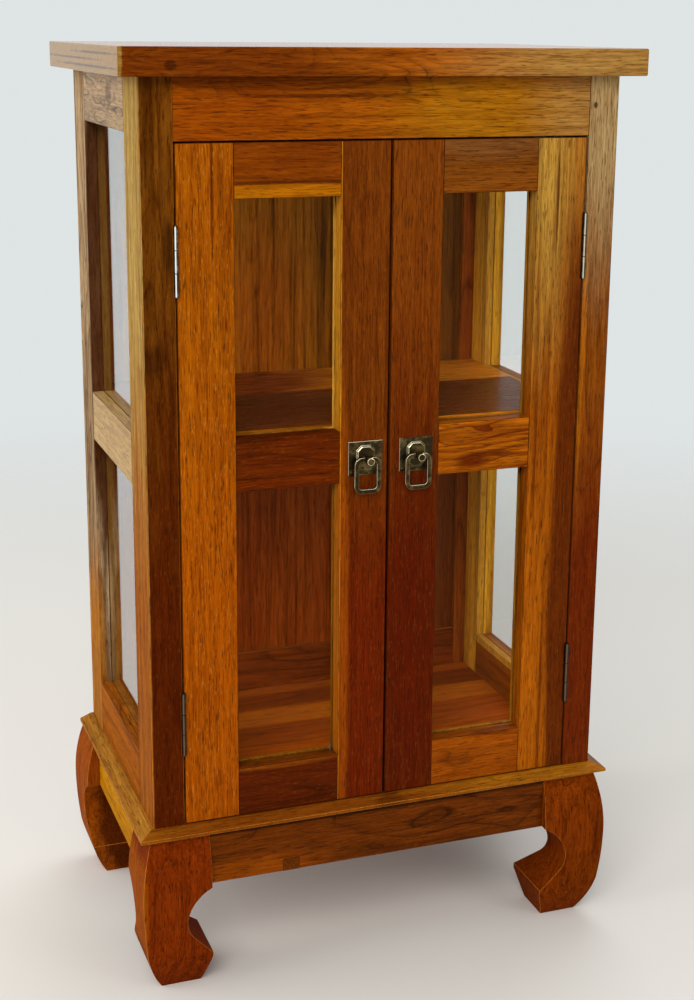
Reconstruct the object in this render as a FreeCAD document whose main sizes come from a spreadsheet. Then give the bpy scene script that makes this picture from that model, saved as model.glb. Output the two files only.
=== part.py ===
import FreeCAD, Part
import os
import re

import Sketcher

# Small display cabinet of solid teak on curved legs, with two glazed doors and glazed sides.
# Millimetres. The origin is on the floor under the middle, X to the right, Y to the back, Z up.
# The doors face -Y.

SIZES = {
    # Case
    "overall_height": 893,
    "top_end_overhang": 20,
    "top_front_overhang": 17.5,
    "top_thickness": 25,
    "top_edge_round": 1.5,
    "carcass_width": 460,
    "carcass_depth": 290,
    "front_post_width": 30,
    "front_post_depth": 58,
    "rear_post_depth": 52,
    "side_thickness": 22,
    "side_top_rail_height": 50,
    "side_bottom_rail_height": 56,
    "mid_rail_bottom": 495,
    "mid_rail_height": 50,
    "header_height": 55,
    "header_thickness": 22,
    # Joinery
    "tenon_thickness": 8,
    "tenon_setback": 6,
    "tenon_shoulder": 2,
    "rail_tenon_length": 20,
    # Glazing
    "glass_thickness": 3,
    "glass_play": 0.5,
    "rebate_width": 8,
    "side_bead_thickness": 7.5,
    "door_bead_thickness": 4.5,
    # Back, shelf and floor
    "back_thickness": 18,
    "back_stile_width": 15,
    "back_top_rail_height": 50,
    "back_bottom_rail_height": 55,
    "back_board_thickness": 10,
    "back_groove_depth": 6,
    "board_play": 0.5,
    "shelf_thickness": 18,
    "shelf_lift": 2,
    "shelf_setback": 2,
    "shelf_front_board": 146,
    "cleat_size": 15,
    "floor_thickness": 10,
    "stop_gap": 0.5,
    # Base frame, legs and aprons
    "leg_height": 159,
    "strip_thickness": 12,
    "strip_width": 61,
    "rear_strip_width": 45,
    "front_nose_overhang": 12,
    "side_nose_overhang": 15,
    "nose_slope": 12,
    "nose_drop": 5,
    "nose_edge": 3,
    "nose_undercut": 9,
    "leg_bulge": 14.5,
    "rear_leg_spread": 5,
    "leg_width": 67.5,
    "leg_top_setback": 9.5,
    "brow_height": 130,
    "brow_setback": 2.45,
    "bulge_height": 100,
    "calf_height": 71,
    "calf_setback": 1,
    "shin_height": 41,
    "shin_setback": 4,
    "ankle_height": 21,
    "ankle_setback": 10,
    "sole_setback": 20.5,
    "sole_width": 39,
    "toe_height": 31,
    "toe_blunt": 5,
    "toe_reach": 69,
    "instep_height": 58,
    "instep_reach": 48.8,
    "arch_height": 68,
    "arch_reach": 43.8,
    "notch_height": 78,
    "notch_reach": 43.3,
    "throat_height": 96,
    "throat_reach": 51.5,
    "apron_height": 51,
    "apron_thickness": 20,
    "apron_tenon_length": 15,
    # Doors
    "door_thickness": 22,
    "door_gap": 1.5,
    "meeting_gap": 2.5,
    "meeting_offset": 2.5,
    "left_hinge_stile_width": 52.5,
    "left_meeting_stile_width": 47.5,
    "right_meeting_stile_width": 49.5,
    "right_hinge_stile_width": 50,
    "door_top_rail_height": 49,
    "door_bottom_rail_height": 48,
    # Hinges
    "hinge_inset": 102,
    "hinge_length": 62,
    "hinge_proud": 1.5,
    "hinge_clearance": 0.3,
    "barrel_radius": 2.2,
    "pin_radius": 1,
    "pin_clearance": 0.05,
    "pin_end": 0.8,
    "leaf_thickness": 1.2,
    "leaf_width": 18,
    # Catches
    "catch_offset": 15,
    "catch_width": 30,
    "catch_depth": 14,
    "catch_mount": 18,
    "catch_overlap": 15,
    "catch_gap": 0.3,
    "strike_thickness": 1,
    # Pulls
    "pull_height": 518,
    "plate_width": 34,
    "plate_height": 33,
    "plate_thickness": 1.2,
    "left_pull_inset": 22,
    "right_pull_inset": 26.5,
    "boss_width": 18,
    "boss_length": 24,
    "boss_corner": 4.5,
    "boss_height": 2,
    "boss_bevel": 1,
    "shank_radius": 2,
    "neck_radius": 3,
    "head_radius": 3.75,
    "head_length": 5,
    "head_reach": 9.75,
    "pivot_reach": 7,
    "bail_width": 26.5,
    "bail_drop": 33,
    "bail_bar": 4.4,
    "bail_thickness": 3,
    "bail_corner": 7.5,
    "bail_side_gap": 0.45,
    "bail_pin_radius": 1.2,
    "bail_pin_end": 1,
}

KNUCKLES = 3
BACK_BOARDS = 4

# How far a cutting solid runs past the wood that it cuts.
OVERCUT = "1"

# Two faces closer than this lie in one plane.
SAME_PLANE = 0.001

doc = FreeCAD.newDocument("display_cabinet")
sheet = doc.addObject("Spreadsheet::Sheet", "Sizes")
for row, (size_name, size) in enumerate(SIZES.items(), start=1):
    sheet.set(f"A{row}", size_name)
    sheet.set(f"B{row}", str(size))
    sheet.setAlias(f"B{row}", size_name)
doc.recompute()

SIZE_NAME = re.compile(r"\b(" + "|".join(SIZES) + r")\b")
nodes = []


def cells(expression):
    """The expression with each size's name made into a reference to its cell."""
    return SIZE_NAME.sub(r"Sizes.\1", expression)


def bind(item, path, expression):
    """Tie one property to the sheet."""
    item.setExpression(path, cells(expression))


def node(item):
    """Keep an object as a sub-part of its own."""
    nodes.append(item)
    return item


# Places that several pieces share.
WAIST = "(leg_height + strip_thickness)"
HALF = "(carcass_width/2)"
FRONT = "(-carcass_depth/2)"
REAR = "(carcass_depth/2)"
EAVES = "(overall_height - top_thickness)"
HEADER_LOW = f"({EAVES} - header_height)"
POST_IN = f"({HALF} - front_post_width)"
RAIL_IN = f"({HALF} - side_thickness)"
POST_BACK = f"({FRONT} + front_post_depth)"
REAR_POST_FRONT = f"({REAR} - rear_post_depth)"
MID_HIGH = "(mid_rail_bottom + mid_rail_height)"
BACK_IN = f"({REAR} - back_thickness)"
SHOULDER = "(rebate_width + tenon_shoulder)"
DOOR_LOW = f"({WAIST} + door_gap)"
DOOR_HIGH = f"({HEADER_LOW} - door_gap)"
DOOR_BACK = f"({FRONT} + door_thickness)"
HINGE_EDGE = f"({POST_IN} - door_gap)"
LEG_X = f"({HALF} + leg_bulge)"
LEG_Y = f"({REAR} + leg_bulge)"
REAR_LEG_X = f"({LEG_X} + rear_leg_spread)"
LEG_BLOCK = "max(leg_width; toe_reach)"
AXIS_X = f"({POST_IN} - door_gap/2)"
AXIS_Y = f"({FRONT} - hinge_proud)"
PIVOT_Y = f"({FRONT} - pivot_reach)"

SIDES = ("left", "right")
ALONG_X = FreeCAD.Rotation(FreeCAD.Vector(0, 1, 0), 90)
ALONG_Y = FreeCAD.Rotation(FreeCAD.Vector(1, 0, 0), -90)
ALONG_Z = FreeCAD.Rotation()


def across(side, near, far):
    """Low and high X of a stretch given by its distances from the middle plane."""
    if side == "left":
        return f"-({far})", f"-({near})"
    return near, far


def at(side, distance):
    """X of a point given by its distance from the middle plane."""
    return f"-({distance})" if side == "left" else distance


def meeting_edge(side):
    """Distance of a door's meeting edge from the middle plane. The doors meet a little right of it."""
    return "(meeting_gap/2 - meeting_offset)" if side == "left" else "(meeting_gap/2 + meeting_offset)"


def grown(span, by):
    """A stretch made longer at both ends."""
    low, high = span
    return f"({low}) - ({by})", f"({high}) + ({by})"


def centred(middle, width):
    """A stretch of a given width about its middle."""
    return f"({middle}) - ({width})/2", f"({middle}) + ({width})/2"


def seat(item, x, y, z):
    """Tie an object's place to the sheet."""
    for axis, expression in zip("xyz", (x, y, z)):
        bind(item, f"Placement.Base.{axis}", expression)


def block(name, x, y, z):
    """A squared piece, given by its low and high ends along X, Y and Z."""
    item = doc.addObject("Part::Box", name)
    for size, (low, high) in zip(("Length", "Width", "Height"), (x, y, z)):
        bind(item, size, f"({high}) - ({low})")
    seat(item, x[0], y[0], z[0])
    return item


def rod(name, direction, radius, start, length):
    """A round piece from its start point along one axis."""
    item = doc.addObject("Part::Cylinder", name)
    item.Placement = FreeCAD.Placement(FreeCAD.Vector(), direction)
    bind(item, "Radius", radius)
    bind(item, "Height", length)
    seat(item, *start)
    return item


def fuse(name, pieces):
    item = doc.addObject("Part::MultiFuse", name)
    item.Shapes = pieces
    item.Refine = True
    return item


def cut(name, base, tools):
    item = doc.addObject("Part::Cut", name)
    item.Base = base
    item.Tool = tools[0] if len(tools) == 1 else fuse(name + "_waste", tools)
    return item


def group(name, pieces):
    """Several like pieces that share one node."""
    item = doc.addObject("Part::Compound", name)
    item.Links = pieces
    return item


def origin_plane(body, role):
    return next(feature for feature in body.Origin.OriginFeatures if feature.Role == role)


def new_sketch(body, name, role):
    sketch = body.newObject("Sketcher::SketchObject", name)
    sketch.AttachmentSupport = (origin_plane(body, role), "")
    sketch.MapMode = "FlatFace"
    return sketch


def point(pair):
    """Today's place of a sketch point whose coordinates are expressions."""
    u, v = (float(sheet.evalExpression(cells(expression))) for expression in pair)
    return FreeCAD.Vector(u, v, 0)


def pin_point(sketch, geometry, end, pair):
    """Tie one point of a sketch to the sheet."""
    for kind, expression, now in zip(("DistanceX", "DistanceY"), pair, point(pair)):
        index = sketch.addConstraint(Sketcher.Constraint(kind, -1, 1, geometry, end, now))
        bind(sketch, f"Constraints[{index}]", expression)


def draw(sketch, start, steps):
    """Draw a closed outline. A step is (end,) for a line or (middle, end) for an arc."""
    ends = []
    corners = []
    here = start
    for step in steps:
        there = step[-1]
        if len(step) == 1:
            index = sketch.addGeometry(Part.LineSegment(point(here), point(there)))
            ends.append((index, 1, 2))
        else:
            first, middle, last = point(here), point(step[0]), point(there)
            if (middle - first).cross(last - first).z > 0:
                index = sketch.addGeometry(Part.Arc(first, middle, last))
                ends.append((index, 1, 2))
            else:
                index = sketch.addGeometry(Part.Arc(last, middle, first))
                ends.append((index, 2, 1))
            mark = sketch.addGeometry(Part.Point(middle), True)
            pin_point(sketch, mark, 1, step[0])
            sketch.addConstraint(Sketcher.Constraint("PointOnObject", mark, 1, index))
        corners.append(here)
        here = there
    for number, (index, first, _) in enumerate(ends):
        before, _, last = ends[number - 1]
        sketch.addConstraint(Sketcher.Constraint("Coincident", before, last, index, first))
        pin_point(sketch, index, first, corners[number])


def rectangle(u, v):
    """Start and steps of a rectangular outline."""
    corners = [(u[1], v[0]), (u[1], v[1]), (u[0], v[1]), (u[0], v[0])]
    return corners[-1], [(corner,) for corner in corners]


def clipped_rectangle(u, v, corner):
    """Start and steps of a rectangular outline with its corners cut off."""
    (left, right), (low, high) = u, v
    inner_left, inner_right = f"({left}) + {corner}", f"({right}) - {corner}"
    inner_low, inner_high = f"({low}) + {corner}", f"({high}) - {corner}"
    corners = [
        (inner_right, low), (right, inner_low), (right, inner_high), (inner_right, high),
        (inner_left, high), (left, inner_high), (left, inner_low), (inner_left, low),
    ]
    return corners[-1], [(corner,) for corner in corners]


def rounded_rectangle(u, v, radius):
    """Start and steps of a rectangular outline with rounded corners."""
    (left, right), (low, high) = u, v
    bow = f"({radius})*(1 - sqrt(0.5))"
    start = (f"({left}) + ({radius})", low)
    return start, [
        ((f"({right}) - ({radius})", low),),
        ((f"({right}) - {bow}", f"({low}) + {bow}"), (right, f"({low}) + ({radius})")),
        ((right, f"({high}) - ({radius})"),),
        ((f"({right}) - {bow}", f"({high}) - {bow}"), (f"({right}) - ({radius})", high)),
        ((f"({left}) + ({radius})", high),),
        ((f"({left}) + {bow}", f"({high}) - {bow}"), (left, f"({high}) - ({radius})")),
        ((left, f"({low}) + ({radius})"),),
        ((f"({left}) + {bow}", f"({low}) + {bow}"), start),
    ]


def pad(body, name, sketch, length, reverse=False, both_ways=False):
    item = body.newObject("PartDesign::Pad", name)
    item.Profile = sketch
    item.Reversed = reverse
    item.Midplane = both_ways
    bind(item, "Length", length)
    return item


def pocket(body, name, sketch, both_ways=False):
    """Cut a sketch's outline right through, along its plane's normal or both ways."""
    doc.recompute()
    before = body.Shape.Volume
    item = body.newObject("PartDesign::Pocket", name)
    item.Profile = sketch
    item.Type = "ThroughAll"
    item.Midplane = both_ways
    item.Reversed = not both_ways
    doc.recompute()
    if body.Shape.Volume > 0.9999 * before:
        raise RuntimeError(name + " cuts nothing")
    return item


def bevel_front(body, slab, size):
    """Bevel the edges round a slab's front face."""
    doc.recompute()
    front = slab.Shape.BoundBox.YMin
    edges = enumerate(slab.Shape.Edges, start=1)
    rim = [f"Edge{number}" for number, edge in edges if edge.BoundBox.YMax - front < SAME_PLANE]
    bevel = body.newObject("PartDesign::Chamfer", slab.Name + "_bevel")
    bevel.Base = (slab, rim)
    bind(bevel, "Size", size)
    body.Tip = bevel


def facing(plane, name, along, through, up):
    """A squared piece of a front (along X) or of a side (along Y)."""
    if plane == "front":
        return block(name, along, through, up)
    return block(name, through, along, up)


def rail(name, plane, along, through, up, tenon_through, tenon_length, shoulder):
    """A rail's board, and the bar through it whose ends are its two tenons."""
    low, high = up
    tenon_up = (f"({low}) + {shoulder}", f"({high}) - {shoulder}")
    board = facing(plane, name + "_board", along, through, up)
    tenons = facing(plane, name + "_tenons", grown(along, tenon_length), tenon_through, tenon_up)
    return board, tenons


def glazing(name, plane, along, up, depths):
    """The rebate, pane and four beads of one glazed opening.

    The depths are the expressions for the rebate's, the pane's and the beads' stretches
    through the frame.
    """
    rebate_through, glass_through, bead_through = depths
    wide = grown(along, "rebate_width")
    tall = grown(up, "rebate_width")
    rebate = facing(plane, name + "_rebate", wide, rebate_through, tall)
    pane = facing(plane, name + "_pane", grown(along, "rebate_width - glass_play"),
                  glass_through, grown(up, "rebate_width - glass_play"))
    beads = [
        facing(plane, name + "_bead_low_end", (wide[0], along[0]), bead_through, tall),
        facing(plane, name + "_bead_high_end", (along[1], wide[1]), bead_through, tall),
        facing(plane, name + "_bead_below", along, bead_through, (tall[0], up[0])),
        facing(plane, name + "_bead_above", along, bead_through, (up[1], tall[1])),
    ]
    return rebate, pane, beads


# Top board, with its long edges eased.
def make_top():
    body = doc.addObject("PartDesign::Body", "top_board")
    sketch = new_sketch(body, "top_outline", "XY_Plane")
    draw(sketch, *rectangle(centred("0", "carcass_width + 2*top_end_overhang"),
                            centred("0", "carcass_depth + 2*top_front_overhang")))
    slab = pad(body, "top_slab", sketch, "top_thickness")
    doc.recompute()
    edges = enumerate(slab.Shape.Edges, start=1)
    level = [f"Edge{number}" for number, edge in edges if edge.BoundBox.ZLength < SAME_PLANE]
    rounding = body.newObject("PartDesign::Fillet", "top_edges")
    rounding.Base = (slab, level)
    bind(rounding, "Radius", "top_edge_round")
    body.Tip = rounding
    seat(body, "0", "0", EAVES)
    node(body)


# One hinge: both leaves with their knuckles, the pin, and the round recess in the wood.
def make_hinge(side, level, middle):
    name = f"{side}_{level}_hinge"
    low = f"({middle} - hinge_length/2)"
    knuckle = f"(hinge_length/{KNUCKLES})"
    x = at(side, AXIS_X)
    leaf_y = (AXIS_Y, f"{AXIS_Y} + leaf_width")
    leaf_z = (low, f"{low} + hinge_length")
    barrel = rod(name + "_barrel", ALONG_Z, "barrel_radius", (x, AXIS_Y, low), "hinge_length")
    recess = rod(name + "_recess", ALONG_Z, "barrel_radius + hinge_clearance",
                 (x, AXIS_Y, f"{low} - hinge_clearance"), "hinge_length + 2*hinge_clearance")
    pin = rod(name + "_pin", ALONG_Z, "pin_radius", (x, AXIS_Y, f"{low} - pin_end"),
              "hinge_length + 2*pin_end")
    bore = rod(name + "_bore", ALONG_Z, "pin_radius + pin_clearance",
               (x, AXIS_Y, f"{low} - {OVERCUT}"), f"hinge_length + 2*{OVERCUT}")
    gaps = {"post": [], "door": []}
    for number in range(KNUCKLES):
        owner = "post" if number % 2 == 0 else "door"
        other = "door" if owner == "post" else "post"
        room = "hinge_clearance" if other == "door" else "0"
        gap = rod(f"{name}_gap_{number}", ALONG_Z, "barrel_radius + hinge_clearance",
                  (x, AXIS_Y, f"{low} + {number}*{knuckle} - {room}"), f"{knuckle} + 2*{room}")
        gaps[other].append(gap)
    post_plate = block(name + "_post_plate", across(side, POST_IN, f"{POST_IN} + leaf_thickness"),
                       leaf_y, leaf_z)
    door_plate = block(name + "_door_plate",
                       across(side, f"{HINGE_EDGE} - leaf_thickness", HINGE_EDGE), leaf_y, leaf_z)
    post_leaf = cut(name + "_post_leaf", fuse(name + "_post_blank", [post_plate, barrel]),
                    [pin] + gaps["post"])
    door_leaf = cut(name + "_door_leaf", fuse(name + "_door_blank", [door_plate, barrel]),
                    [bore] + gaps["door"])
    return {"post_leaf": post_leaf, "door_leaf": door_leaf, "pin": pin,
            "post_cuts": [post_plate, recess], "door_cuts": [door_plate, recess]}


# Catch on the header's back, and the strike plate that it holds, let into the door.
def make_catch(side):
    near = f"({meeting_edge(side)} + catch_offset)"
    x = across(side, near, f"{near} + catch_width")
    face = f"({DOOR_BACK} + catch_gap)"
    back = f"{face} + catch_depth"
    low = f"{DOOR_HIGH} - catch_overlap"
    mount = block(f"{side}_catch_mount", x, (f"{FRONT} + header_thickness", back),
                  (HEADER_LOW, f"{HEADER_LOW} + catch_mount"))
    magnet = block(f"{side}_catch_magnet", x, (face, back), (low, HEADER_LOW))
    strike = block(f"{side}_strike_plate", x, (f"{DOOR_BACK} - strike_thickness", DOOR_BACK),
                   (low, f"{DOOR_HIGH} - strike_thickness"))
    return fuse(f"{side}_catch", [mount, magnet]), strike


# Pull of one door: plate with a raised boss, post with a round head, and swinging bail.
def make_pull(side):
    x = at(side, f"{meeting_edge(side)} + {side}_pull_inset")
    plate_front = f"({FRONT} - plate_thickness)"
    boss_front = f"({plate_front} - boss_height)"
    head_front = f"({PIVOT_Y} - head_reach)"
    head_back = f"({head_front} + head_length)"
    plate = block(f"{side}_plate_blank", centred(x, "plate_width"), (plate_front, FRONT),
                  centred("pull_height", "plate_height"))
    boss = doc.addObject("PartDesign::Body", f"{side}_boss")
    boss_outline = new_sketch(boss, f"{side}_boss_outline", "XZ_Plane")
    draw(boss_outline, *clipped_rectangle(centred("0", "boss_width"), centred("0", "boss_length"),
                                          "boss_corner"))
    bevel_front(boss, pad(boss, f"{side}_boss_slab", boss_outline, "boss_height"), "boss_bevel")
    seat(boss, x, plate_front, "pull_height")
    shank = rod(f"{side}_shank", ALONG_Y, "shank_radius", (x, boss_front, "pull_height"),
                f"{FRONT} - {boss_front}")
    node(cut(f"{side}_pull_plate", fuse(f"{side}_plate_body", [plate, boss]), [shank]))

    neck = rod(f"{side}_neck", ALONG_Y, "neck_radius", (x, head_back, "pull_height"),
               f"{boss_front} - {head_back}")
    head = rod(f"{side}_head", ALONG_Y, "head_radius", (x, head_front, "pull_height"), "head_length")
    cross_hole = rod(f"{side}_cross_hole", ALONG_X, "bail_pin_radius + pin_clearance",
                     (f"{x} - neck_radius - {OVERCUT}", PIVOT_Y, "pull_height"),
                     f"2*(neck_radius + {OVERCUT})")
    node(cut(f"{side}_pull_post", fuse(f"{side}_post_body", [shank, neck, head]), [cross_hole]))

    loop = doc.addObject("PartDesign::Body", f"{side}_bail_loop")
    outline = new_sketch(loop, f"{side}_bail_outline", "XZ_Plane")
    draw(outline, *rounded_rectangle(centred("0", "bail_width"), ("-bail_drop", "bail_bar/2"),
                                     "bail_corner"))
    draw(outline, *rounded_rectangle(centred("0", "bail_width - 2*bail_bar"),
                                     ("bail_bar - bail_drop", "-bail_bar/2"), "bail_corner - bail_bar"))
    pad(loop, f"{side}_bail_ring", outline, "bail_thickness", both_ways=True)
    opening = new_sketch(loop, f"{side}_bail_opening", "XZ_Plane")
    half_gap = "head_radius + bail_side_gap"
    draw(opening, *rectangle(centred("0", f"2*({half_gap})"), centred("0", f"bail_bar + {OVERCUT}")))
    pocket(loop, f"{side}_bail_gap", opening, both_ways=True)
    seat(loop, x, PIVOT_Y, "pull_height")
    pins = []
    for end, start in (("left", f"{x} - ({half_gap}) - bail_bar"), ("right", f"{x} + bail_pin_end")):
        pins.append(rod(f"{side}_bail_{end}_pin", ALONG_X, "bail_pin_radius",
                        (start, PIVOT_Y, "pull_height"), f"{half_gap} + bail_bar - bail_pin_end"))
    node(fuse(f"{side}_bail", [loop] + pins))


# One door: stiles and rails joined by tenons, panes in rebates, beads, hinge leaves and pull.
def make_door(side, hinges, strike):
    meeting = meeting_edge(side)
    meeting_in = f"({meeting} + {side}_meeting_stile_width)"
    hinge_in = f"({HINGE_EDGE} - {side}_hinge_stile_width)"
    through = (FRONT, DOOR_BACK)
    along = across(side, meeting_in, hinge_in)
    glass_back = f"({DOOR_BACK} - door_bead_thickness)"
    glass_front = f"({glass_back} - glass_thickness)"
    depths = ((glass_front, f"{DOOR_BACK} + {OVERCUT}"), (glass_front, glass_back),
              (glass_back, DOOR_BACK))
    tenon_through = (f"{FRONT} + tenon_setback", f"{FRONT} + tenon_setback + tenon_thickness")
    levels = {
        "bottom": (DOOR_LOW, f"({DOOR_LOW} + door_bottom_rail_height)"),
        "mid": ("mid_rail_bottom", MID_HIGH),
        "top": (f"({DOOR_HIGH} - door_top_rail_height)", DOOR_HIGH),
    }
    lower_up = (levels["bottom"][1], levels["mid"][0])
    upper_up = (levels["mid"][1], levels["top"][0])
    lower = glazing(f"{side}_door_lower", "front", along, lower_up, depths)
    upper = glazing(f"{side}_door_upper", "front", along, upper_up, depths)
    rebates = [lower[0], upper[0]]
    mortises = []
    for level, up in levels.items():
        name = f"{side}_door_{level}_rail"
        board, tenons = rail(name, "front", along, through, up, tenon_through, "rail_tenon_length",
                             SHOULDER)
        mortises.append(tenons)
        near = {"bottom": rebates[:1], "mid": rebates, "top": rebates[1:]}[level]
        node(cut(name, fuse(name + "_joined", [board, tenons]), near))
    hinge_blank = block(f"{side}_hinge_stile_blank", across(side, hinge_in, HINGE_EDGE), through,
                        (DOOR_LOW, DOOR_HIGH))
    meeting_blank = block(f"{side}_meeting_stile_blank", across(side, meeting, meeting_in), through,
                          (DOOR_LOW, DOOR_HIGH))
    hinge_cuts = [tool for hinge in hinges for tool in hinge["door_cuts"]]
    node(cut(f"{side}_hinge_stile", hinge_blank, mortises + rebates + hinge_cuts))
    node(cut(f"{side}_meeting_stile", meeting_blank, mortises + rebates + [strike]))
    node(group(f"{side}_door_glass", [lower[1], upper[1]]))
    node(group(f"{side}_door_beads", lower[2] + upper[2]))
    node(group(f"{side}_door_hinge_leaves", [hinge["door_leaf"] for hinge in hinges]))
    node(strike)
    make_pull(side)


# One side of the case: rails between the front and rear posts, panes, beads and the posts themselves.
def make_side(side, hinges, header_tenons):
    along = (POST_BACK, REAR_POST_FRONT)
    through = across(side, RAIL_IN, HALF)
    middle = f"({HALF} - side_thickness/2)"
    tenon_through = across(side, *centred(middle, "tenon_thickness"))
    glass_in = f"({RAIL_IN} + side_bead_thickness)"
    glass_out = f"({glass_in} + glass_thickness)"
    depths = (across(side, f"{POST_IN} - {OVERCUT}", glass_out), across(side, glass_in, glass_out),
              across(side, RAIL_IN, glass_in))
    levels = {
        "bottom": (WAIST, f"({WAIST} + side_bottom_rail_height)"),
        "mid": ("mid_rail_bottom", MID_HIGH),
        "top": (f"({EAVES} - side_top_rail_height)", EAVES),
    }
    lower_up = (levels["bottom"][1], levels["mid"][0])
    upper_up = (levels["mid"][1], levels["top"][0])
    lower = glazing(f"{side}_side_lower", "side", along, lower_up, depths)
    upper = glazing(f"{side}_side_upper", "side", along, upper_up, depths)
    rebates = [lower[0], upper[0]]
    mortises = []
    for level, up in levels.items():
        name = f"{side}_{level}_rail"
        board, tenons = rail(name, "side", along, through, up, tenon_through, "rail_tenon_length",
                             SHOULDER)
        mortises.append(tenons)
        near = {"bottom": rebates[:1], "mid": rebates, "top": rebates[1:]}[level]
        node(cut(name, fuse(name + "_joined", [board, tenons]), near))
    hinge_cuts = [tool for hinge in hinges for tool in hinge["post_cuts"]]
    up = (WAIST, EAVES)
    front_blank = block(f"front_{side}_post_blank", across(side, POST_IN, HALF), (FRONT, POST_BACK), up)
    rear_blank = block(f"rear_{side}_post_blank", through, (REAR_POST_FRONT, REAR), up)
    node(cut(f"front_{side}_post", front_blank, mortises + rebates + hinge_cuts + [header_tenons]))
    node(cut(f"rear_{side}_post", rear_blank, mortises + rebates))
    return [lower[1], upper[1]], lower[2] + upper[2]


# Header over the doors, with tenons into the front posts.
def make_header():
    tenon_through = (f"{FRONT} + tenon_setback", f"{FRONT} + tenon_setback + tenon_thickness")
    through = (FRONT, f"{FRONT} + header_thickness")
    board, tenons = rail("header_rail", "front", (f"-{POST_IN}", POST_IN), through, (HEADER_LOW, EAVES),
                         tenon_through, "rail_tenon_length", SHOULDER)
    node(fuse("header_rail", [board, tenons]))
    return tenons


# Back: grooved frame around upright boards.
def make_back():
    stile_in = f"({RAIL_IN} - back_stile_width)"
    through = (BACK_IN, REAR)
    groove_through = centred(f"({BACK_IN} + back_thickness/2)", "back_board_thickness")
    top_low = f"({EAVES} - back_top_rail_height)"
    bottom_high = f"({WAIST} + back_bottom_rail_height)"
    wide = grown((f"-{stile_in}", stile_in), "back_groove_depth")
    groove = block("back_groove", wide, groove_through,
                   grown((bottom_high, top_low), "back_groove_depth"))
    for level, up in (("top", (top_low, EAVES)), ("bottom", (WAIST, bottom_high))):
        name = f"back_{level}_rail"
        board, tongues = rail(name, "front", (f"-{stile_in}", stile_in), through, up, groove_through,
                              "back_groove_depth", "0")
        node(cut(name, fuse(name + "_joined", [board, tongues]), [groove]))
    stiles = []
    for side in SIDES:
        blank = block(f"back_{side}_stile_blank", across(side, stile_in, RAIL_IN), through, (WAIST, EAVES))
        slot = block(f"back_{side}_slot", across(side, stile_in, f"{stile_in} + back_groove_depth"),
                     groove_through, (WAIST, EAVES))
        stiles.append(cut(f"back_{side}_stile", blank, [slot]))
    node(group("back_stiles", stiles))
    reach = f"({stile_in} + back_groove_depth - board_play)"
    boards = []
    for number in range(BACK_BOARDS):
        low, high = (f"-{reach} + 2*{reach}*{count}/{BACK_BOARDS}" for count in (number, number + 1))
        boards.append(block(f"back_board_{number}", (low, high), groove_through,
                            grown((bottom_high, top_low), "back_groove_depth - board_play")))
    node(group("back_boards", boards))


# Shelf of two boards on cleats, and the floor, both cut round the front posts.
def make_shelf_and_floor():
    wide = (f"-({RAIL_IN} - board_play)", f"{RAIL_IN} - board_play")
    end = f"({BACK_IN} - board_play)"
    notches = [block(f"{side}_post_notch", across(side, f"{POST_IN} - board_play", HALF),
                     (FRONT, f"{POST_BACK} + board_play"), (WAIST, EAVES)) for side in SIDES]
    shelf_high = f"({MID_HIGH} + shelf_lift)"
    shelf_low = f"({shelf_high} - shelf_thickness)"
    start = f"({DOOR_BACK} + shelf_setback)"
    joint = f"({start} + shelf_front_board)"
    front_board = block("shelf_front_blank", wide, (start, joint), (shelf_low, shelf_high))
    rear_board = block("shelf_rear_board", wide, (joint, end), (shelf_low, shelf_high))
    node(group("shelf", [cut("shelf_front_board", front_board, notches), rear_board]))
    node(group("shelf_cleats", [
        block(f"{side}_shelf_cleat", across(side, f"{RAIL_IN} - cleat_size", RAIL_IN),
              (f"{POST_BACK} + board_play", end), (f"{shelf_low} - cleat_size", shelf_low))
        for side in SIDES]))
    floor = block("floor_blank", wide, (f"{DOOR_BACK} + stop_gap", end),
                  (WAIST, f"{WAIST} + floor_thickness"))
    node(cut("floor_panel", floor, notches))


# Strip of the base frame with a sloping nose. It runs along its own X with the nose at its own Y = 0.
def make_moulding(name, length, mitres, turn, corner):
    body = doc.addObject("PartDesign::Body", name)
    section = new_sketch(body, name + "_section", "YZ_Plane")
    tip_high = f"{WAIST} - nose_drop"
    draw(section, ("strip_width", "leg_height"), [
        (("strip_width", WAIST),),
        (("nose_slope", WAIST),),
        (("0", tip_high),),
        (("0", f"{tip_high} - nose_edge"),),
        (("nose_undercut", "leg_height"),),
        (("strip_width", "leg_height"),),
    ])
    pad(body, name + "_run", section, length)
    for end in mitres:
        square, inner = {"start": ("0", "strip_width"), "end": (length, f"{length} - strip_width")}[end]
        mitre = new_sketch(body, f"{name}_{end}_mitre", "XY_Plane")
        draw(mitre, (square, "0"),
             [((inner, "strip_width"),), ((square, "strip_width"),), ((square, "0"),)])
        pocket(body, f"{name}_{end}_cut", mitre)
    body.Placement = FreeCAD.Placement(FreeCAD.Vector(), FreeCAD.Rotation(turn, 0, 0))
    seat(body, corner[0], corner[1], "0")
    return body


def make_base_frame():
    nose_x = f"({HALF} + side_nose_overhang)"
    nose_y = f"({FRONT} - front_nose_overhang)"
    side_length = "carcass_depth + front_nose_overhang"
    node(make_moulding("front_moulding", f"2*{nose_x}", ("start", "end"), 0, (f"-{nose_x}", nose_y)))
    node(make_moulding("left_moulding", side_length, ("end",), -90, (f"-{nose_x}", REAR)))
    node(make_moulding("right_moulding", side_length, ("start",), 90, (nose_x, nose_y)))
    inner = f"({nose_x} - strip_width)"
    node(block("rear_base_strip", (f"-{inner}", inner), (f"{REAR} - rear_strip_width", REAR),
               ("leg_height", WAIST)))


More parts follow.
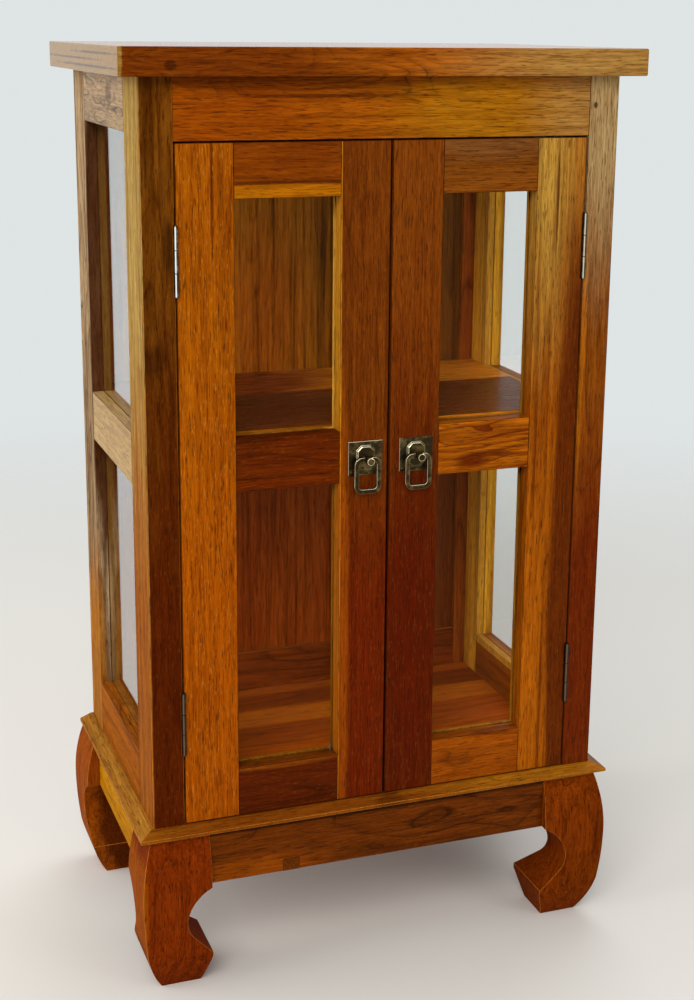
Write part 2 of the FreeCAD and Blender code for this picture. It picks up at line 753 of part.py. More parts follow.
def leg_profile():
    """Outline of a leg seen square on: inward from the bulge, and up from the floor."""
    return ("leg_top_setback", "leg_height"), [
        (("brow_setback", "brow_height"), ("0", "bulge_height")),
        (("calf_setback", "calf_height"), ("shin_setback", "shin_height")),
        (("ankle_setback", "ankle_height"), ("sole_setback", "0")),
        (("sole_setback + sole_width", "0"),),
        (("toe_reach", "toe_height"),),
        (("toe_reach", "toe_height + toe_blunt"),),
        (("instep_reach", "instep_height"),),
        (("arch_reach", "arch_height"), ("notch_reach", "notch_height")),
        (("throat_reach", "throat_height"), ("leg_width", "leg_height - apron_height")),
        (("leg_width", "leg_height"),),
        (("leg_top_setback", "leg_height"),),
    ]


# Curved leg, sawn to one profile from two sides, with mortises for the aprons.
def make_leg(name, quarter_turns, corner, mortises):
    body = doc.addObject("PartDesign::Body", name + "_block")
    first = new_sketch(body, name + "_first_profile", "XZ_Plane")
    draw(first, *leg_profile())
    pad(body, name + "_first_sawing", first, LEG_BLOCK, reverse=True)
    second = new_sketch(body, name + "_second_profile", "YZ_Plane")
    draw(second, *leg_profile())
    draw(second, *rectangle(grown(("0", LEG_BLOCK), OVERCUT), grown(("0", "leg_height"), OVERCUT)))
    pocket(body, name + "_second_sawing", second, both_ways=True)
    body.Placement = FreeCAD.Placement(FreeCAD.Vector(), FreeCAD.Rotation(90 * quarter_turns, 0, 0))
    seat(body, corner[0], corner[1], "0")
    node(cut(name, body, mortises))


def make_legs_and_aprons():
    bars = {}
    up = ("leg_height - apron_height", "leg_height")
    for name, plane, half_run, face, sign in (
        ("front_apron", "front", f"{LEG_X} - leg_width", f"{LEG_Y} - leg_top_setback", -1),
        ("rear_apron", "front", f"{REAR_LEG_X} - leg_width", f"{LEG_Y} - leg_top_setback", 1),
        ("left_apron", "side", f"{LEG_Y} - leg_width", f"{LEG_X} - leg_top_setback", -1),
        ("right_apron", "side", f"{LEG_Y} - leg_width", f"{LEG_X} - leg_top_setback", 1),
    ):
        hand = "left" if sign < 0 else "right"
        through = across(hand, f"{face} - apron_thickness", face)
        tenon_through = across(hand, *centred(f"{face} - apron_thickness/2", "tenon_thickness"))
        board, tenons = rail(name, plane, (f"-({half_run})", half_run), through, up, tenon_through,
                             "apron_tenon_length", SHOULDER)
        bars[name] = tenons
        node(fuse(name, [board, tenons]))
    make_leg("front_left_leg", 0, (f"-{LEG_X}", f"-{LEG_Y}"), [bars["front_apron"], bars["left_apron"]])
    make_leg("front_right_leg", 1, (LEG_X, f"-{LEG_Y}"), [bars["front_apron"], bars["right_apron"]])
    make_leg("rear_right_leg", 2, (REAR_LEG_X, LEG_Y), [bars["rear_apron"], bars["right_apron"]])
    make_leg("rear_left_leg", 3, (f"-{REAR_LEG_X}", LEG_Y), [bars["rear_apron"], bars["left_apron"]])


def make_cabinet():
    make_top()
    header_tenons = make_header()
    panes, beads, catches, hinges = [], [], [], {}
    for side in SIDES:
        hinges[side] = [make_hinge(side, "lower", f"({DOOR_LOW} + hinge_inset)"),
                        make_hinge(side, "upper", f"({DOOR_HIGH} - hinge_inset)")]
        side_panes, side_beads = make_side(side, hinges[side], header_tenons)
        panes += side_panes
        beads += side_beads
        catch, strike = make_catch(side)
        catches.append(catch)
        make_door(side, hinges[side], strike)
    both = hinges["left"] + hinges["right"]
    node(group("side_glass", panes))
    node(group("side_beads", beads))
    node(group("magnetic_catches", catches))
    node(group("post_hinge_leaves", [hinge["post_leaf"] for hinge in both]))
    node(group("hinge_pins", [hinge["pin"] for hinge in both]))
    make_back()
    make_shelf_and_floor()
    make_base_frame()
    make_legs_and_aprons()


def check_and_write():
    """Refuse a failed model, then write each sub-part's solids."""
    failed = [item.Label for item in doc.Objects if {"Invalid", "Error"} & set(item.State)]
    for item in nodes:
        if item.Shape.isNull() or not item.Shape.isValid() or not item.Shape.Solids:
            failed.append(item.Label)
    if failed:
        raise RuntimeError("failed: " + ", ".join(failed))
    os.makedirs("parts", exist_ok=True)
    for item in nodes:
        item.Shape.exportStep(f"parts/{item.Label}.step")
        print(f"{item.Label}: {len(item.Shape.Solids)} solids, {item.Shape.Volume / 1000:.2f} cm3")


make_cabinet()
doc.recompute()
check_and_write()
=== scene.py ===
import math
from collections import namedtuple

import bmesh
import bpy
from mathutils import Euler, Matrix, Vector


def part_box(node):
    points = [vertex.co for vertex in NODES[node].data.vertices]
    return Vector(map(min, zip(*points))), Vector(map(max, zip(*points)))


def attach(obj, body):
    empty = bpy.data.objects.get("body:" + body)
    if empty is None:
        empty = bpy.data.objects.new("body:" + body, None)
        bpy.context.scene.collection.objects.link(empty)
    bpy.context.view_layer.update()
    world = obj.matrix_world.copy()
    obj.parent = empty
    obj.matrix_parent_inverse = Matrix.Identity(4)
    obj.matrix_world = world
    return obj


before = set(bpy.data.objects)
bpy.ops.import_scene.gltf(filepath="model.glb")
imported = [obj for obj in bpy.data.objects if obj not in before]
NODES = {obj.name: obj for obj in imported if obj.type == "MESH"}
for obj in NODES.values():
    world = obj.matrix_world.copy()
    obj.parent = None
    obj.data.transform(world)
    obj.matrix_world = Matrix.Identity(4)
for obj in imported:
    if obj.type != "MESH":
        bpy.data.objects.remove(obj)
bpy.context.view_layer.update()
SIDES = ("left", "right")
MM = 0.001


def srgb(red, green, blue):
    """Linear colour of an 8-bit display colour."""
    def linear(value):
        value /= 255
        return value / 12.92 if value <= 0.04045 else ((value + 0.055) / 1.055) ** 2.4
    return (linear(red), linear(green), linear(blue), 1.0)


# A patch of other colour, such as sapwood, a knot, a painted highlight, reflection or shadow: an
# ellipsoid, its centre and radii in millimetres.
# strength is how far it covers what is under it, blur how softly it ends, and rag how far grain tears it.
Spot = namedtuple("Spot", "centre radii colour strength blur rag", defaults=(0.8, 0.35, 0.8))

# Sockets of a Mix node that mixes colours.
MIX_FACTOR, MIX_FIRST, MIX_SECOND, MIX_RESULT = 0, 6, 7, 2


class Graph:
    """Adds nodes to the tree of one material or world and links them."""

    def __init__(self, owner, output="ShaderNodeOutputMaterial"):
        owner.use_nodes = True
        self.owner = owner
        self.tree = owner.node_tree
        self.tree.nodes.clear()
        self.output = self.tree.nodes.new(output)

    def put(self, socket, value):
        if isinstance(value, bpy.types.NodeSocket):
            self.tree.links.new(value, socket)
        else:
            socket.default_value = value

    def node(self, kind, inputs=None, **settings):
        node = self.tree.nodes.new(kind)
        for key, value in settings.items():
            setattr(node, key, value)
        for key, value in (inputs or {}).items():
            self.put(node.inputs[key], value)
        return node

    def math(self, operation, first, second=0.0, third=0.0):
        node = self.node("ShaderNodeMath", {0: first, 1: second, 2: third}, operation=operation)
        return node.outputs[0]

    def vector(self, operation, first, second=(0, 0, 0)):
        node = self.node("ShaderNodeVectorMath", {0: first, 1: second}, operation=operation)
        return node.outputs["Value" if operation in ("LENGTH", "DOT_PRODUCT") else "Vector"]

    def noise(self, vector, scale=1.0, detail=2.0, roughness=0.5):
        inputs = {"Vector": vector, "Scale": scale, "Detail": detail, "Roughness": roughness}
        return self.node("ShaderNodeTexNoise", inputs).outputs["Fac"]

    def smooth(self, value, low, high, bottom=0.0, top=1.0):
        """A smooth change from bottom to top as the value goes from low to high."""
        inputs = {"Value": value, "From Min": low, "From Max": high, "To Min": bottom, "To Max": top}
        node = self.node("ShaderNodeMapRange", inputs, interpolation_type="SMOOTHSTEP")
        return node.outputs["Result"]

    def mix(self, factor, first, second, blend="MIX"):
        inputs = {MIX_FACTOR: factor, MIX_FIRST: first, MIX_SECOND: second}
        node = self.node("ShaderNodeMix", inputs, data_type="RGBA", blend_type=blend)
        return node.outputs[MIX_RESULT]

    def reach(self, place, spot):
        """How far a place is from a spot's centre, where 1 is the spot's edge."""
        offset = self.vector("SUBTRACT", place, [coordinate * MM for coordinate in spot.centre])
        return self.vector("LENGTH", self.vector("DIVIDE", offset, [radius * MM for radius in spot.radii]))

    def cover(self, reach, spot):
        """How far a spot covers what is under it."""
        return self.smooth(reach, low=1 + spot.blur, high=1 - spot.blur, top=spot.strength)

    def surface(self, shader):
        self.tree.links.new(shader.outputs[0], self.output.inputs["Surface"])

    def principled(self, inputs):
        self.surface(self.node("ShaderNodeBsdfPrincipled", inputs))


# Wood. A layer of its texture is noise with so many waves to a metre across and along the grain.
Layer = namedtuple("Layer", "across along detail roughness", defaults=(2.0, 0.5))
STREAKS = Layer(190, 3.2, 2.0, 0.6)
TORN_EDGES = Layer(130, 7.0)
FIBRES = Layer(520, 24, 4.0, 0.8)
FLECKS = Layer(1150, 130, 1.0)
PORES = Layer(1100, 75, 1.0)
FLECK = srgb(224, 150, 54)
PORE = srgb(40, 13, 3)
PORE_DARKNESS = 0.6
PORE_DEPTH = 0.8
GRAIN_DEPTH = 0.4 * MM
VARNISH_TINT = (1.0, 0.5, 0.12, 1.0)

# What the darkest and the palest fibre multiply red, green and blue by.
FIBRE_TINTS = ((0.62, 1.30), (0.50, 1.42), (0.40, 1.50))

# Turns that bring each grain direction upright.
GRAIN_TURN = {"X": (0, math.radians(-90), 0), "Y": (math.radians(90), 0, 0), "Z": (0, 0, 0)}

# A board's seed is how far along this way its texture starts, one step further for each board.
SEED_WAY = (1.0, 1.7, 2.3)
SEED_STEP = 0.37


def teak(name, grain, light, dark, seed, figure=12, spread=18, wave=0.12, lines=0.85, streaks=0.45,
         flecks=0.06, coarse=1.0, spots=(), gloss=0.40, sheen=0.08, relief=0.17):
    """Varnished teak: growth rings drawn out along the grain, streaks, fibres, pale flecks and pores.

    figure is how many dark ring lines the board has, spread how many waves they make to a metre across
    the grain, and wave how many of these waves lie along it for each one across. lines, streaks and
    flecks are strengths, coarse widens streaks and fibres, gloss is the varnish's roughness, sheen its
    reflection and relief the depth of the grain in it.
    """
    graph = Graph(bpy.data.materials.new(name))
    light, dark = srgb(*light), srgb(*dark)
    place = graph.node("ShaderNodeTexCoord").outputs["Object"]
    mapped = graph.node("ShaderNodeMapping", {
        "Vector": place,
        "Location": [share * seed for share in SEED_WAY],
        "Rotation": GRAIN_TURN[grain],
    }).outputs["Vector"]

    def grained(layer, widened=1.0):
        across = layer.across / widened
        stretched = graph.vector("MULTIPLY", mapped, (across, across, layer.along))
        return graph.noise(stretched, detail=layer.detail, roughness=layer.roughness)

    tone = grained(Layer(0.5 * spread, 1.3, 1.0))
    colour = graph.mix(graph.smooth(tone, low=0.36, high=0.64, top=0.4), light, dark)
    growth = grained(Layer(spread, wave * spread, 1.6, 0.42))
    ring = graph.math("FRACT", graph.math("MULTIPLY", growth, figure))
    late_edge = graph.smooth(ring, low=0.18, high=0.0, top=lines)
    late_wood = graph.smooth(ring, low=0.45, high=1.0, top=0.45 * lines)
    fade = graph.smooth(grained(Layer(2.2 * spread, 4.0)), low=0.34, high=0.62, bottom=0.25)
    late = graph.math("MAXIMUM", late_edge, late_wood)
    colour = graph.mix(graph.math("MULTIPLY", late, fade), colour, dark)
    streak = grained(STREAKS, coarse)
    colour = graph.mix(graph.smooth(streak, low=0.48, high=0.74, top=streaks), colour, dark)
    colour = graph.mix(graph.smooth(streak, low=0.46, high=0.28, top=0.8 * streaks), colour, light)

    torn = graph.math("SUBTRACT", grained(TORN_EDGES), 0.5)
    for spot in spots:
        reach = graph.math("MULTIPLY_ADD", torn, spot.rag, graph.reach(place, spot))
        streaked = graph.smooth(streak, low=0.42, high=0.70, top=0.5 * streaks)
        colour = graph.mix(graph.cover(reach, spot), colour, graph.mix(streaked, srgb(*spot.colour), dark))

    fibre = grained(FIBRES, coarse)
    tint = graph.node("ShaderNodeCombineXYZ", {
        channel: graph.smooth(fibre, low=0.25, high=0.75, bottom=darkest, top=palest)
        for channel, (darkest, palest) in enumerate(FIBRE_TINTS)})
    colour = graph.mix(1.0, colour, tint.outputs[0], "MULTIPLY")
    colour = graph.mix(graph.smooth(grained(FLECKS), low=0.62, high=0.72, top=flecks), colour, FLECK)
    pore = graph.smooth(grained(PORES), low=0.58, high=0.68)
    colour = graph.mix(graph.math("MULTIPLY", pore, PORE_DARKNESS), colour, PORE)

    height = graph.math("MULTIPLY_ADD", pore, -PORE_DEPTH, fibre)
    bump = graph.node("ShaderNodeBump", {"Strength": relief, "Distance": GRAIN_DEPTH, "Height": height})
    graph.principled({
        "Base Color": colour,
        "Roughness": graph.smooth(fibre, low=0.2, high=0.8, bottom=gloss - 0.06, top=gloss + 0.10),
        "Specular IOR Level": sheen,
        "Specular Tint": VARNISH_TINT,
        "Normal": bump.outputs["Normal"],
    })
    return graph.owner


# Metal. Scales are waves to a metre.
CLOUD_SCALE = 120.0
GRIT_SCALE = 1400.0
CLOUDS_WHERE_HIGHLIT = 0.12
GRIT_SHARE = 0.5
METAL_RELIEF = 0.12
METAL_DEPTH = 0.1 * MM


def metal(name, base, worn_and_lit, roughness=0.4, seed=0.0, highlight_towards=None, fade=(0.0, 1.0), spots=()):
    """Metal with cloudy tarnish and fine scratches.

    highlight_towards is the direction whose faces get a painted highlight, and fade the cosines of the
    angle from it at which the highlight starts and is full. Metal without such a direction is worn in
    clouds. Spots colour the wear and the painted highlight.
    """
    graph = Graph(bpy.data.materials.new(name))
    coordinates = graph.node("ShaderNodeTexCoord").outputs
    place = coordinates["Object"]
    shifted = graph.vector("ADD", place, (seed, seed, seed))
    cloud = graph.noise(shifted, scale=CLOUD_SCALE, detail=3.0, roughness=0.6)
    grit = graph.noise(shifted, scale=GRIT_SCALE)
    wear_and_highlight = graph.smooth(cloud, low=0.42, high=0.68)
    if highlight_towards:
        facing = graph.vector("DOT_PRODUCT", coordinates["Normal"], highlight_towards)
        wear_and_highlight = graph.math("MULTIPLY_ADD", wear_and_highlight, CLOUDS_WHERE_HIGHLIT, graph.smooth(facing, *fade))
    bright = srgb(*worn_and_lit)
    for spot in spots:
        bright = graph.mix(graph.cover(graph.reach(place, spot), spot), bright, srgb(*spot.colour))
    height = graph.math("MULTIPLY_ADD", grit, GRIT_SHARE, cloud)
    bump = graph.node("ShaderNodeBump", {
        "Strength": METAL_RELIEF,
        "Distance": METAL_DEPTH,
        "Height": height,
    })
    graph.principled({
        "Base Color": graph.mix(wear_and_highlight, srgb(*base), bright),
        "Metallic": 1.0,
        "Roughness": graph.smooth(grit, low=0.3, high=0.7, bottom=roughness - 0.08, top=roughness + 0.12),
        "Normal": bump.outputs["Normal"],
    })
    return graph.owner


# Glass. The doors' panes mirror little, and the sides' panes more.
GLASS_TINT = (0.97, 0.985, 0.975, 1)
GLASS_SHADOW = (0.98, 0.99, 0.985, 1)
SMEAR_WAVES = (14, 14, 5)
SMEAR_ROUGHNESS = 0.03
DOOR_GLASS_IOR = 1.09
SIDE_GLASS_IOR = 1.75


def pane(name, ior):
    """Clear window glass that lets the lamps through, with faint smears."""
    graph = Graph(bpy.data.materials.new(name))
    place = graph.node("ShaderNodeTexCoord").outputs["Object"]
    smear = graph.noise(graph.vector("MULTIPLY", place, SMEAR_WAVES), detail=4.0, roughness=0.6)
    glass = graph.node("ShaderNodeBsdfPrincipled", {
        "Base Color": GLASS_TINT,
        "Transmission Weight": 1.0,
        "IOR": ior,
        "Roughness": graph.smooth(smear, low=0.55, high=0.8, top=SMEAR_ROUGHNESS),
    })
    clear = graph.node("ShaderNodeBsdfTransparent", {"Color": GLASS_SHADOW})
    shadow = graph.node("ShaderNodeLightPath").outputs["Is Shadow Ray"]
    graph.surface(graph.node("ShaderNodeMixShader", {0: shadow, 1: glass.outputs[0], 2: clear.outputs[0]}))
    return graph.owner


def board(grain, light, dark, **options):
    """A board's grain direction, its light and dark colour, and what else teak() is told about it."""
    return grain, light, dark, options


PLAIN = ((140, 64, 8), (80, 28, 3))
RIGHT_SIDE = ((150, 74, 10), (86, 32, 3))
DOOR_BEADS = ((160, 104, 26), (112, 62, 12))
END_LINE = ((70, 42, 16), 0.85, 0.5, 1.5)
DULL = {"gloss": 0.7, "sheen": 0.02}
WOOD = {
    "top_board": board(
        "X", (160, 80, 9), (84, 32, 3), figure=16, spread=24, wave=0.25, lines=1.0, gloss=0.12, sheen=0.1,
        spots=[
            Spot((-190, -162, 880), (170, 30, 40), (92, 32, 2), 0.75, 0.5),
            Spot((-205, -162, 877), (5, 20, 4), (54, 18, 3)),
            # Paler towards the right end of the front edge: painted reflection.
            Spot((215, -162, 880), (120, 40, 40), (160, 124, 62), 0.75, 0.8),
            Spot((-250, 0, 880), (4, 300, 60), (156, 118, 54), 0.9, 0.2),
            Spot((-250, -60, 886), (3, 90, 1.0), *END_LINE),
            Spot((-250, 40, 880), (3, 120, 0.9), *END_LINE),
            Spot((-250, -30, 874), (3, 140, 1.1), *END_LINE),
        ]),
    "header_rail": board(
        "X", (158, 78, 4), (84, 30, 2), figure=14, spread=22, wave=0.28, lines=1.0, streaks=0.4,
        spots=[
            Spot((-160, -145, 840), (90, 30, 40), (130, 50, 1), 0.6, 0.6),
            Spot((-90, -145, 862), (130, 20, 6), (84, 28, 2), 0.6, 0.5),
            Spot((-30, -145, 851), (100, 20, 1.6), (80, 28, 2), 0.8, 0.5),
            Spot((120, -145, 836), (110, 30, 30), (164, 106, 10), 0.7, 0.5),
            # Paler at the right end: painted reflection.
            Spot((200, -145, 840), (45, 30, 60), (164, 126, 70), 0.55, 0.9),
            # A dark line along the top, under the top board's overhang: a dark joint with painted shadow.
            Spot((0, -145, 869), (300, 12, 2.5), (46, 16, 2), 0.7, 0.5, 0.3),
        ]),
    "front_left_post": board(
        "Z", (108, 58, 9), (52, 20, 2), figure=14, streaks=0.7, coarse=1.8, **DULL,
        spots=[
            Spot((-212, -145, 250), (30, 30, 330), (78, 21, 2), 0.85, 0.5),
            Spot((-219, -145, 623), (9, 20, 14), (54, 22, 4), 0.7, 0.5),
            Spot((-206, -145, 722), (5, 20, 22), (42, 18, 4), 0.7, 0.5),
            # Paler up the left face: painted reflection, giving way to the teak's own golden colour lower
            # down.
            Spot((-230, -116, 560), (1.4, 80, 520), (172, 138, 74), 0.95, 0.25),
            Spot((-230, -116, 200), (1.4, 80, 340), (150, 74, 8), 0.9, 0.5),
        ]),
    "front_right_post": board(
        "Z", (132, 66, 9), (72, 24, 2), figure=10,
        spots=[
            Spot((215, -145, 300), (60, 40, 190), (94, 22, 1), 0.9, 0.5),
            Spot((203, -145, 620), (2.6, 20, 130), (168, 92, 10), 0.8, 0.5),
            # Paler at the top: painted reflection.
            Spot((216, -145, 830), (50, 40, 120), (168, 138, 92), 0.9, 0.8),
            Spot((206, -145, 841), (2, 8, 3), (50, 28, 14), 0.9),
        ]),
    # Pale grey-tan on its left face: painted reflection, less of it towards the bottom.
    "rear_left_post": board(
        "Z", (174, 143, 106), (84, 54, 30), figure=14, coarse=2.6, streaks=0.8, **DULL,
        spots=[
            Spot((-230, 112, 230), (6, 60, 130), (170, 102, 16), 0.9, 0.5),
            Spot((-222, 92, 640), (14, 5, 280), (66, 28, 8), 0.95, 0.2),
        ]),
    # A painted pool of light on the post's inner face.
    "rear_right_post": board(
        "Z", (150, 76, 12), (92, 36, 4), figure=10,
        spots=[Spot((214, 100, 520), (18, 40, 420), (238, 164, 34), 0.9, 0.3)]),
    # Pale grey-tan: painted reflection on the left face.
    "left_top_rail": board(
        "Y", (180, 146, 104), (56, 32, 16), figure=14, spread=36, wave=0.25, lines=1.0,
        spots=[Spot((-230, -24, 850), (20, 12, 10), (70, 44, 22), 0.6, 0.5)]),
    # Pale: painted reflection on the left face.
    "left_mid_rail": board("Y", (200, 164, 106), (130, 90, 46), figure=8, lines=0.6),
    "left_bottom_rail": board("Y", (156, 84, 16), (92, 40, 6), **DULL),
    "right_top_rail": board("Y", *RIGHT_SIDE),
    "right_mid_rail": board("Y", *RIGHT_SIDE),
    "right_bottom_rail": board("Y", *RIGHT_SIDE),
    "left_hinge_stile": board(
        "Z", (163, 83, 3), (106, 42, 1), figure=5, lines=0.5, streaks=0.4, flecks=0.25,
        spots=[
            Spot((-166, -145, 765), (1.3, 10, 60), (90, 30, 3), 0.85, 0.5),
            Spot((-175, -145, 290), (70, 40, 250), (158, 68, 1), 0.6, 0.6),
        ]),
    "left_meeting_stile": board(
        "Z", (116, 53, 6), (64, 19, 2), figure=10, lines=0.6,
        spots=[
            Spot((-20, -145, 280), (60, 30, 200), (98, 20, 1), 0.85, 0.6),
            Spot((-45, -145, 330), (9, 30, 260), (146, 66, 5), 0.75, 0.35),
            # Pale on the reveal beside the glass, less so lower down: painted light on a face lit from the
            # left.
            Spot((-46.3, -138, 500), (1.2, 30, 900), (206, 136, 30), 0.9, 0.3),
            Spot((-46.3, -138, 340), (1.4, 30, 175), (176, 90, 16), 0.85, 0.4),
        ]),
    "left_door_top_rail": board(
        "X", (140, 62, 3), (78, 28, 2), figure=9,
        spots=[
            Spot((-96, -145, 776), (140, 20, 1.8), (60, 20, 2), 0.7, 0.4),
            Spot((-96, -145, 767), (140, 30, 7), (166, 94, 4), 0.95, 0.2),
        ]),
    "left_door_mid_rail": board("X", (108, 37, 2), (58, 15, 1), figure=9),
    "left_door_bottom_rail": board(
        "X", (86, 26, 3), (42, 11, 1),
        spots=[Spot((-100, -145, 221), (60, 20, 5), (140, 70, 10), 0.6, 0.4)]),
    "right_hinge_stile": board(
        "Z", (168, 86, 6), (92, 34, 2), figure=16, streaks=0.8,
        spots=[
            # Paler at the top: painted reflection.
            Spot((160, -145, 800), (28, 30, 150), (184, 142, 58), 0.75, 0.8),
            Spot((188, -145, 670), (13, 30, 80), (112, 54, 12), 0.6, 0.5),
            Spot((194, -145, 370), (17, 40, 320), (82, 27, 2), 0.9, 0.2),
            Spot((170.5, -145, 758), (1.2, 10, 52), (66, 24, 3), 0.85, 0.5),
        ]),
    "right_meeting_stile": board(
        "Z", (122, 57, 7), (74, 26, 2), figure=6, lines=0.4,
        spots=[Spot((28, -145, 320), (60, 40, 270), (80, 12, 1), 0.95, 0.7)]),
    "right_door_top_rail": board(
        "X", (124, 64, 11), (74, 32, 4), figure=8,
        spots=[Spot((100, -145, 806), (70, 30, 12), (112, 72, 38), 0.5, 0.6)]),
    "right_door_mid_rail": board(
        "X", (188, 100, 8), (90, 27, 2), figure=16, wave=0.25, lines=1.0, streaks=0.8,
        spots=[
            Spot((88, -145, 507), (16, 20, 7), (84, 20, 1), 0.85, 0.5),
            Spot((108, -145, 512), (24, 20, 3), (78, 24, 2), 0.8, 0.5),
        ]),
    "right_door_bottom_rail": board("X", (154, 72, 5), (96, 38, 2), figure=9),
    "left_door_beads": board(
        "Z", *DOOR_BEADS, figure=10,
        # Pale on the bead beside the meeting stile: painted light on a face lit from the left.
        spots=[Spot((-44, -125, 660), (14, 14, 150), (228, 168, 66), 0.9, 0.3)]),
    "right_door_beads": board("Z", *DOOR_BEADS, figure=10),
    # Paler on the right: painted light inside the case.
    "side_beads": board(
        "Z", (150, 104, 40), (92, 58, 18), figure=10,
        spots=[Spot((225, 0, 500), (40, 400, 800), (214, 146, 42), 0.8, 0.1)]),
    "back_top_rail": board("X", *PLAIN),
    "back_bottom_rail": board("X", (150, 64, 6), (80, 30, 3)),
    # The back's stiles and boards, the shelf and the floor panel are paler than the teak: painted light
    # for the light the glass holds back.
    "back_stiles": board("Z", (186, 94, 14), (108, 44, 5)),
    "back_boards": board(
        "Z", (200, 117, 8), (68, 31, 3), figure=14, spread=24, lines=0.5, streaks=0.9,
        spots=[
            Spot((0, 131, 330), (400, 60, 170), (152, 42, 2), 0.75, 0.4),
            Spot((150, 131, 480), (80, 60, 420), (88, 46, 7), 0.7, 0.4),
            Spot((-40, 131, 610), (40, 60, 90), (184, 70, 2), 0.45, 0.6),
        ]),
    "shelf": board(
        "X", (250, 152, 26), (160, 74, 8), figure=14, gloss=0.26, sheen=0.04, relief=0.05,
        spots=[
            Spot((-120, 75, 547), (130, 90, 30), (112, 32, 2), 0.92, 0.3),
            Spot((0, -48, 540), (4000, 73, 800), (86, 36, 9), 0.95, 0.02, 0.0),
            Spot((-130, -48, 547), (130, 73, 30), (66, 18, 2), 0.75, 0.4),
        ]),
    "shelf_cleats": board("Y", *PLAIN),
    "floor_panel": board(
        "X", (182, 82, 8), (104, 40, 4), figure=14,
        spots=[
            Spot((0, 118, 181), (4000, 8, 500), (196, 100, 14), 0.7, 0.3, 0.1),
            Spot((0, 90, 181), (4000, 17, 500), (100, 38, 5), 0.5, 0.2, 0.1),
            Spot((0, 48, 181), (4000, 20, 500), (206, 110, 14), 0.75, 0.12, 0.1),
        ]),
    "front_moulding": board(
        "X", (158, 96, 16), (96, 46, 5),
        spots=[
            Spot((-90, -155, 166), (160, 30, 30), (118, 54, 7), 0.85, 0.4),
            Spot((7, -155, 166), (14, 20, 8), (72, 32, 4), 0.7, 0.5),
        ]),
    "left_moulding": board("Y", (170, 114, 38), (110, 62, 13), gloss=0.7, sheen=0.05),
    "right_moulding": board("Y", (150, 84, 14), (92, 40, 5)),
    "rear_base_strip": board("X", *PLAIN),
    "front_apron": board(
        "X", (118, 52, 6), (50, 17, 2), figure=12, wave=0.3, lines=1.0,
        spots=[
            Spot((-140, -150, 115), (75, 30, 13), (144, 66, 4), 0.75, 0.4),
            # A dark line along the top, under the moulding: painted shadow.
            Spot((0, -150, 160), (300, 12, 3.5), (32, 12, 2), 0.85, 0.4, 0.3),
        ]),
    "rear_apron": board("X", *PLAIN),
    "left_apron": board("Y", (190, 126, 6), (132, 72, 3), lines=0.4, **DULL),
    "right_apron": board("Y", *PLAIN),
    "front_left_leg": board(
        "Z", (120, 42, 4), (66, 18, 1), figure=10, wave=0.14, lines=0.6, **DULL,
        spots=[Spot((-245, -110, 90), (5, 90, 120), (152, 74, 6), 0.8, 0.5)]),
    "front_right_leg": board("Z", (128, 52, 4), (70, 24, 2), figure=12, wave=0.3, **DULL),
    "rear_left_leg": board(
        "Z", (146, 68, 9), (86, 36, 5), figure=12, **DULL,
        # Darker where the leg faces forward under the case: painted shade.
        spots=[Spot((-196, 96, 76), (42, 44, 84), (72, 26, 4), 0.95, 0.15, 0.3)]),
    "rear_right_leg": board("Z", (118, 44, 4), (72, 24, 3), figure=14),
}
WORN_HIGHLIT_EDGES = ("top_board", "front_left_post", "left_moulding", "front_moulding", "right_moulding",
              "front_left_leg", "front_right_leg", "rear_left_leg", "rear_right_leg", "back_bottom_rail")

# Softened edges: how close corners are welded, what counts as flat or as an edge, and the edges' widths.
WELD_REACH = 0.01 * MM
FLAT_ANGLE = math.radians(0.5)
EDGE_ANGLE = math.radians(35)
EDGE_SEGMENTS = 2
WOOD_EDGE = 0.4 * MM
PLUG_EDGE = 0.15 * MM
HINGE_EDGE = 0.25 * MM
CATCH_EDGE = 0.2 * MM
PULL_EDGE = 0.45 * MM
PULL_POST_EDGE = 0.7 * MM


def soften(obj, width, edge_material=None):
    """Round the sharp edges of a CAD node or piece, with their own material if there is one."""
    weld = obj.modifiers.new("weld", "WELD")
    weld.merge_threshold = WELD_REACH
    flat = obj.modifiers.new("flat", "DECIMATE")
    flat.decimate_type = "DISSOLVE"
    flat.angle_limit = FLAT_ANGLE
    bevel = obj.modifiers.new("bevel", "BEVEL")
    bevel.width = width
    bevel.segments = EDGE_SEGMENTS
    bevel.limit_method = "ANGLE"
    bevel.angle_limit = EDGE_ANGLE
    bevel.use_clamp_overlap = False
    if edge_material is not None:
        obj.data.materials.append(edge_material)
        bevel.material = len(obj.data.materials) - 1
    normals = obj.modifiers.new("normals", "WEIGHTED_NORMAL")
    normals.keep_sharp = True


def dress(node, material):
    """Give a CAD node its material."""
    NODES[node].data.materials.clear()
    NODES[node].data.materials.append(material)


# Paler arrises: wear, and a painted highlight along the exposed edges.
ARRIS = teak("teak_worn_highlit_arris", "Z", (176, 104, 30), (124, 62, 14), seed=5.0, figure=6, lines=0.3)
# Darker edges: grime in the joints, and painted shade in the gaps between parts.
JOINT = teak("teak_grimy_shaded_joint", "Z", (64, 26, 4), (34, 12, 2), seed=6.0, figure=6, lines=0.3)
for index, (node, (grain, light, dark, options)) in enumerate(WOOD.items()):
    dress(node, teak("teak_" + node, grain, light, dark, SEED_STEP * index, **options))
    # Beads touch one another at their ends, so they keep plain edges.
    if not node.endswith("beads"):
        soften(NODES[node], WOOD_EDGE, ARRIS if node in WORN_HIGHLIT_EDGES else JOINT)

